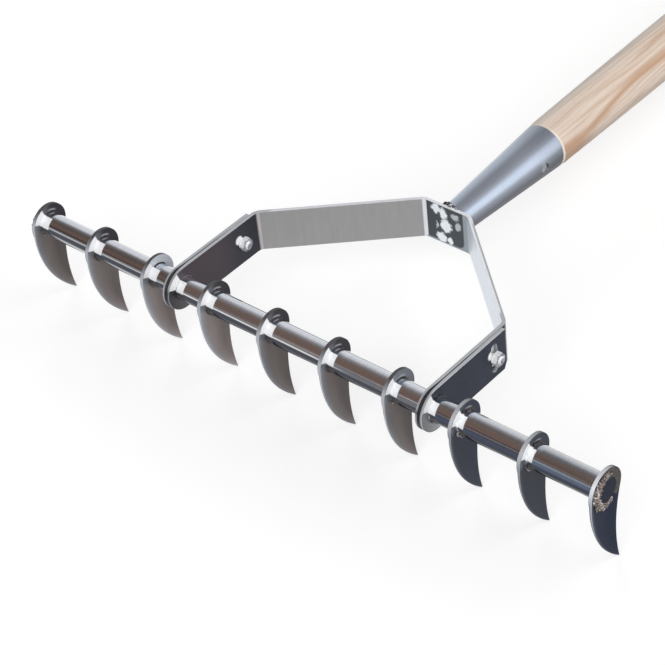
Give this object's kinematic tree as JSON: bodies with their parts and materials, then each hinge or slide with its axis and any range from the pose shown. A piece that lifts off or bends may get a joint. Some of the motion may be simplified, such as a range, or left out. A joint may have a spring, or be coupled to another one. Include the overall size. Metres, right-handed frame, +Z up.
{
  "type": "thatch rake",
  "caption": "Long-handled thatch rake: a bar of crescent blades tilts in a bent steel yoke and is clamped by bolts in curved slots, on an ash handle.",
  "frame": {"origin": "centre of the rake's box on the floor that it lies on, blade tips and handle end down", "axes": "+Z up from the floor, +Y from the blades towards the handle's free end, +X along the bar of blades"},
  "size_m": [0.439, 1.6608, 0.0738],
  "materials": {
    "ash_wood": "sanded ash with long grain, lightly oiled",
    "satin_steel": "satin blue-grey steel tube",
    "polished_steel": "mirror-polished stainless steel",
    "blade_steel": "polished stainless plate, dark in reflection, with bright cut edges",
    "weld_steel": "rough weld bead with straw tint",
    "fastener_steel": "bright stainless fasteners"
  },
  "bodies": {
    "handle_and_yoke": {"handle": "ash_wood", "socket": "satin_steel", "socket_screw": "fastener_steel", "socket_weld": "weld_steel", "yoke": "polished_steel", "clamp_bolt_left": "fastener_steel", "clamp_bolt_right": "fastener_steel", "clamp_nut_left": "fastener_steel", "clamp_nut_right": "fastener_steel"},
    "tine_head": {"tine_bar": "polished_steel", "blade_01": "blade_steel", "blade_02": "blade_steel", "blade_03": "blade_steel", "blade_04": "blade_steel", "blade_05": "blade_steel", "blade_06": "blade_steel", "blade_07": "blade_steel", "blade_08": "blade_steel", "blade_09": "blade_steel", "blade_10": "blade_steel", "blade_welds": "weld_steel", "end_welds": "weld_steel", "link_plate_left": "blade_steel", "link_plate_right": "blade_steel", "plate_welds": "weld_steel"}
  },
  "joints": [
    {"name": "tine_tilt", "type": "hinge", "parent": "handle_and_yoke", "child": "tine_head", "pos_m": [0, -0.81588, 0.05926], "axis": [1, 0, 0], "range_deg": [-8, 8]}
  ]
}
